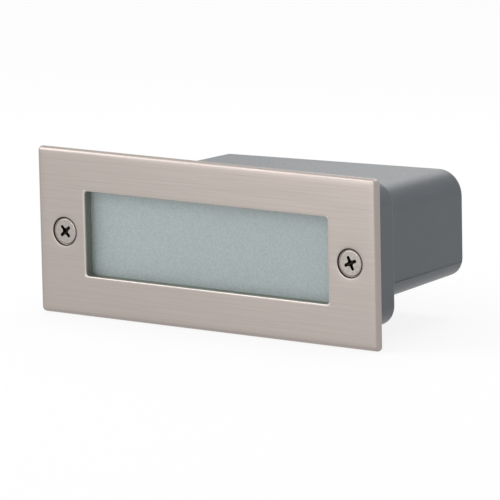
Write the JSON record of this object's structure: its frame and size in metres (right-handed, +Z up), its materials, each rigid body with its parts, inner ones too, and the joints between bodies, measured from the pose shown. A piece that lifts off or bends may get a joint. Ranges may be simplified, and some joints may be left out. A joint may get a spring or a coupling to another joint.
{
  "type": "recessed step light",
  "caption": "Recessed outdoor step light: brushed steel faceplate with a frosted glass window, cover screws at the ends, and a painted wall box with an off-centre deep body and cable gland.",
  "frame": {"origin": "Centre of the faceplate's outline, on the plane of the wall surface that the plate's rear edge lies on.", "axes": "+X to the right as seen from in front of the light, +Y into the wall, +Z up."},
  "size_m": [0.17, 0.0769, 0.07],
  "materials": {
    "plate_steel": "brushed stainless steel, fine grain along the plate",
    "screw_steel": "turned and tumbled stainless steel",
    "frosted_glass": "acid-etched soda-lime glass",
    "gasket_rubber": "moulded silicone rubber",
    "seal_rubber": "moulded nitrile rubber",
    "housing_paint": "satin powder coat on die-cast aluminium",
    "clip_steel": "bent spring steel strip",
    "zinc_steel": "bright zinc plate",
    "tray_aluminium": "rolled sheet",
    "reflector_white": "moulded white polycarbonate",
    "board_white": "white solder resist on an aluminium board",
    "led_phosphor": "phosphor in clear silicone",
    "solder": "bright solder",
    "driver_case": "moulded white polycarbonate, fine texture",
    "terminal_nylon": "moulded natural nylon",
    "cage_brass": "drawn brass",
    "lead_brown": "extruded lead insulation",
    "lead_blue": "extruded lead insulation",
    "lead_red": "extruded lead insulation",
    "lead_black": "extruded lead insulation",
    "lead_earth": "extruded lead insulation, green with a yellow stripe",
    "tag_tin": "tinned copper",
    "gland_nylon": "moulded black nylon"
  },
  "bodies": {
    "case": {"housing": "housing_paint", "rim_gasket": "gasket_rubber", "gear_tray": "tray_aluminium", "led_board": "board_white", "led_emitters": "led_phosphor", "solder_joints": "solder", "reflector": "reflector_white", "tray_screws": "zinc_steel", "led_driver": "driver_case", "driver_screws": "zinc_steel", "terminal_block": "terminal_nylon", "terminal_cages": "cage_brass", "terminal_screws": "zinc_steel", "block_screws": "zinc_steel", "mains_lead_live": "lead_brown", "mains_lead_neutral": "lead_blue", "led_lead_positive": "lead_red", "led_lead_negative": "lead_black", "earth_lead": "lead_earth", "earth_tag": "tag_tin", "earth_screw": "zinc_steel", "gland_body": "gland_nylon", "gland_washer": "seal_rubber", "gland_locknut": "gland_nylon", "gland_seal": "seal_rubber"},
    "cover": {"faceplate": "plate_steel", "screw_seals": "seal_rubber", "diffuser_glass": "frosted_glass", "glass_gasket": "gasket_rubber", "glass_clips": "clip_steel", "clip_nuts": "zinc_steel"},
    "left_screw": {"cover_screw_left": "screw_steel"},
    "right_screw": {"cover_screw_right": "screw_steel"},
    "cable_nut": {"gland_nut": "gland_nylon"}
  },
  "joints": [
    {"name": "cover_lift", "type": "slide", "parent": "case", "child": "cover", "axis": [0, -1, 0], "range_m": [0, 0.05]},
    {"name": "screw_left_turn", "type": "hinge", "parent": "cover", "child": "left_screw", "pos_m": [-0.0715, 0, 0], "axis": [0, 1, 0], "continuous": true},
    {"name": "screw_right_turn", "type": "hinge", "parent": "cover", "child": "right_screw", "pos_m": [0.0715, 0, 0], "axis": [0, 1, 0], "continuous": true},
    {"name": "gland_nut_turn", "type": "hinge", "parent": "case", "child": "cable_nut", "pos_m": [-0.065, 0.04845, 0.00405], "axis": [1, 0, 0], "continuous": true}
  ]
}
